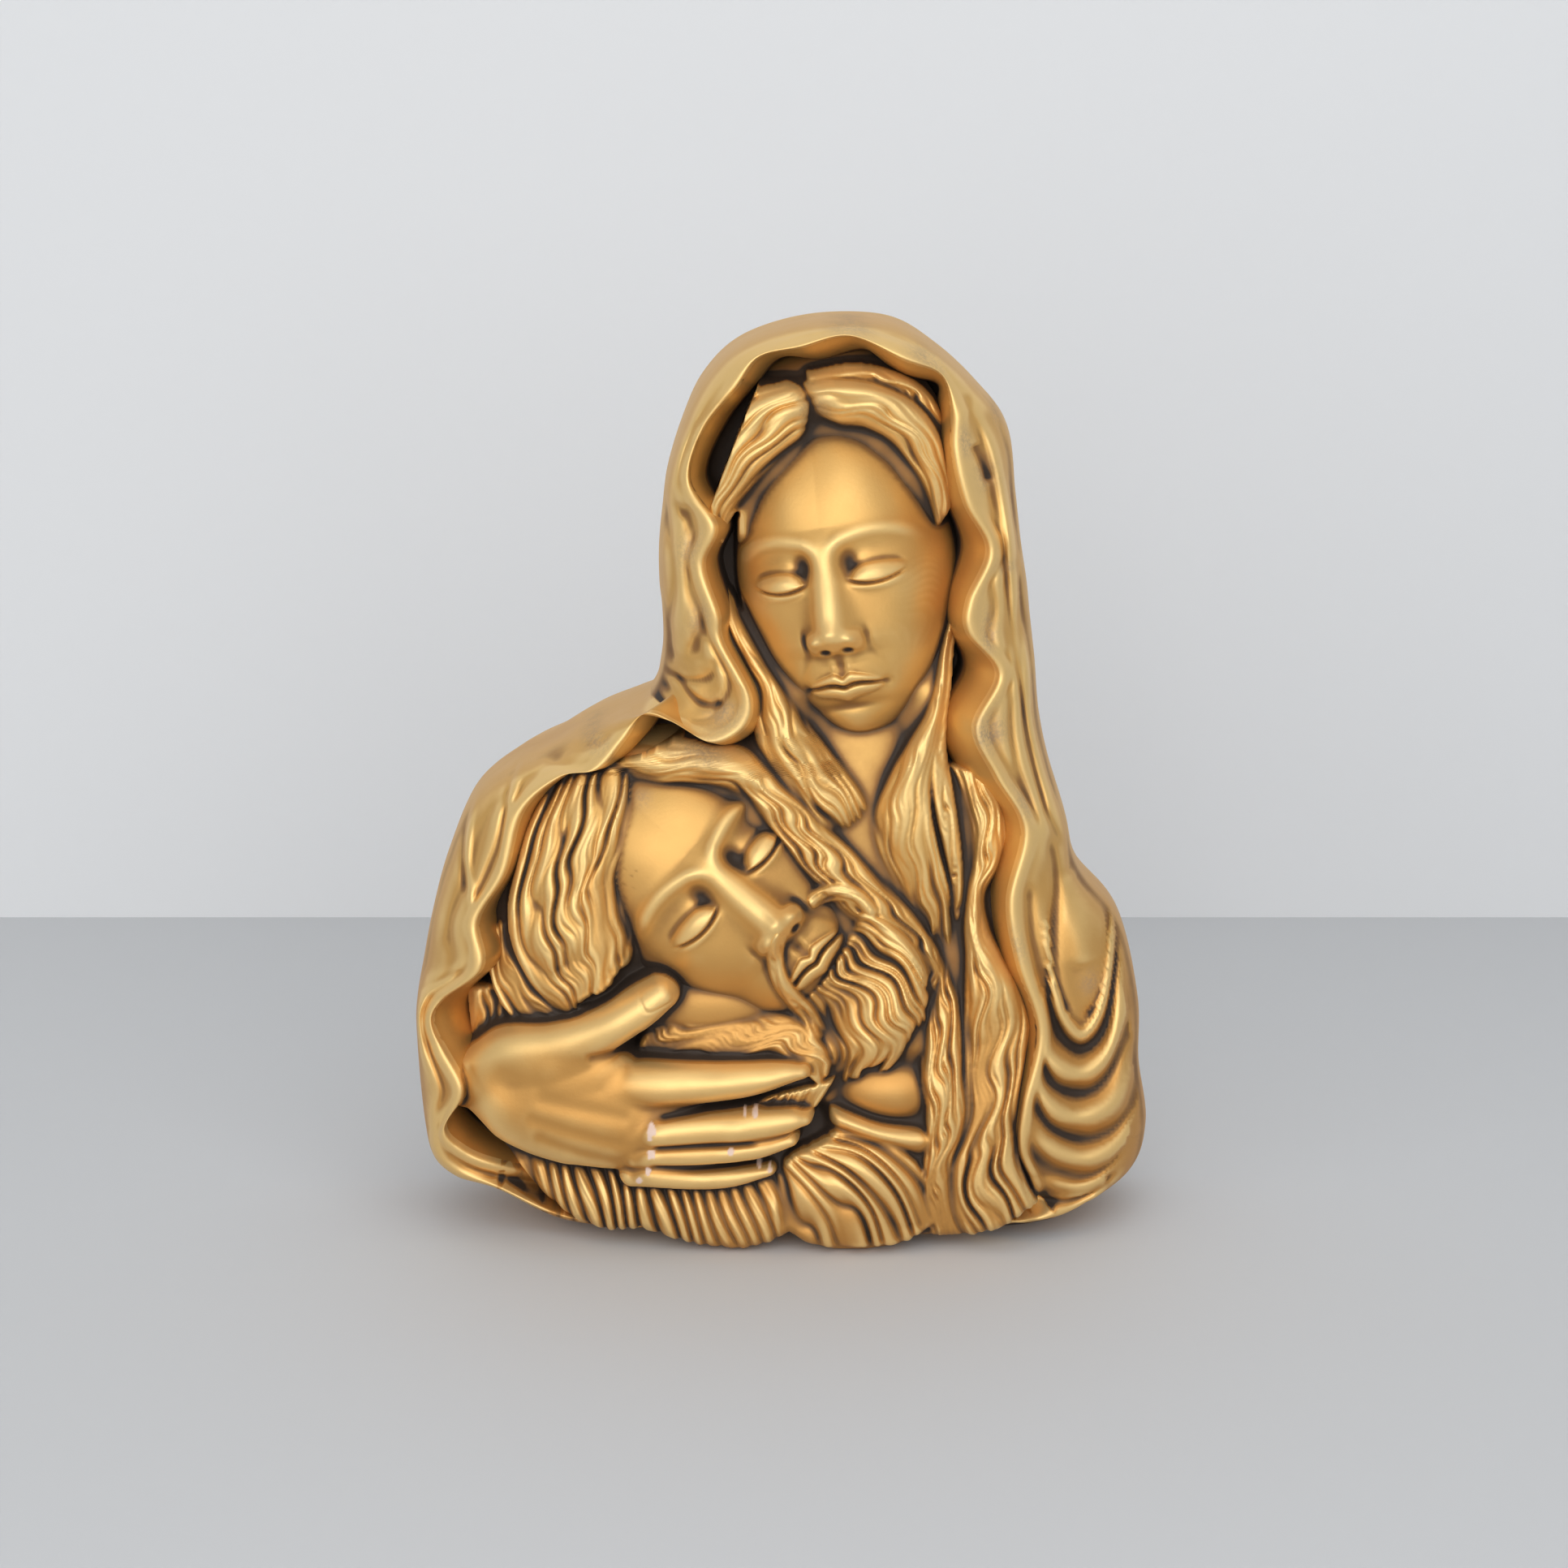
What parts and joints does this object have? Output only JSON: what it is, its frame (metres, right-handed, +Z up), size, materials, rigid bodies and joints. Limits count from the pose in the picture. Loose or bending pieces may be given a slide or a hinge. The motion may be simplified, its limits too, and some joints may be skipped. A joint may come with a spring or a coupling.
{
  "type": "bronze-painted pieta relief",
  "caption": "Half-round cast figure relief: a veiled woman holding a bearded man's head on her breast. Stands upright on its flat underside.",
  "frame": {"origin": "centre of the bounding box's bottom, on the surface the relief stands on", "axes": "+Z up, +Y towards the plain back, +X to the viewer's right; the figures face -Y"},
  "size_m": [0.2109, 0.0882, 0.2605],
  "materials": {
    "bronze_paint": "satin gold-bronze paint with a dark brown patina in the hollows"
  },
  "bodies": {
    "root": {"pieta_relief": "bronze_paint"}
  },
  "joints": []
}
